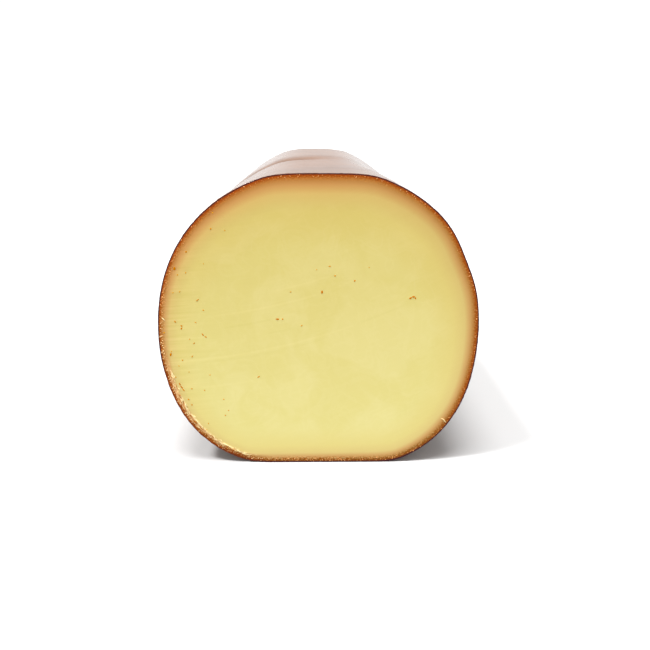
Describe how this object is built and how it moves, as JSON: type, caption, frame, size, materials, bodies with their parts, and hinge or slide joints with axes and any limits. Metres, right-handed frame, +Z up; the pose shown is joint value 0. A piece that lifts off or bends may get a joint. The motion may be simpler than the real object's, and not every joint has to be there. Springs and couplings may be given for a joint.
{
  "type": "smoked gouda",
  "caption": "Log of smoked gouda with a smooth brown smoked rind, cut square across at the front to show its pale yellow paste, with a domed and gathered far end.",
  "frame": {"origin": "under the middle of the log, on the surface that it rests on", "axes": "+Z up, +Y along the log from the cut face to the gathered end, +X to the right as seen from the cut end"},
  "size_m": [0.1109, 0.3005, 0.1035],
  "materials": {
    "smoked_rind": "smooth smoked rind, dark rust brown with a satin gloss",
    "cheese_paste": "smooth pale yellow paste, satin where the knife passed, tan to rust brown towards the rind"
  },
  "bodies": {
    "root": {"smoked_gouda": "smoked_rind"}
  },
  "joints": []
}
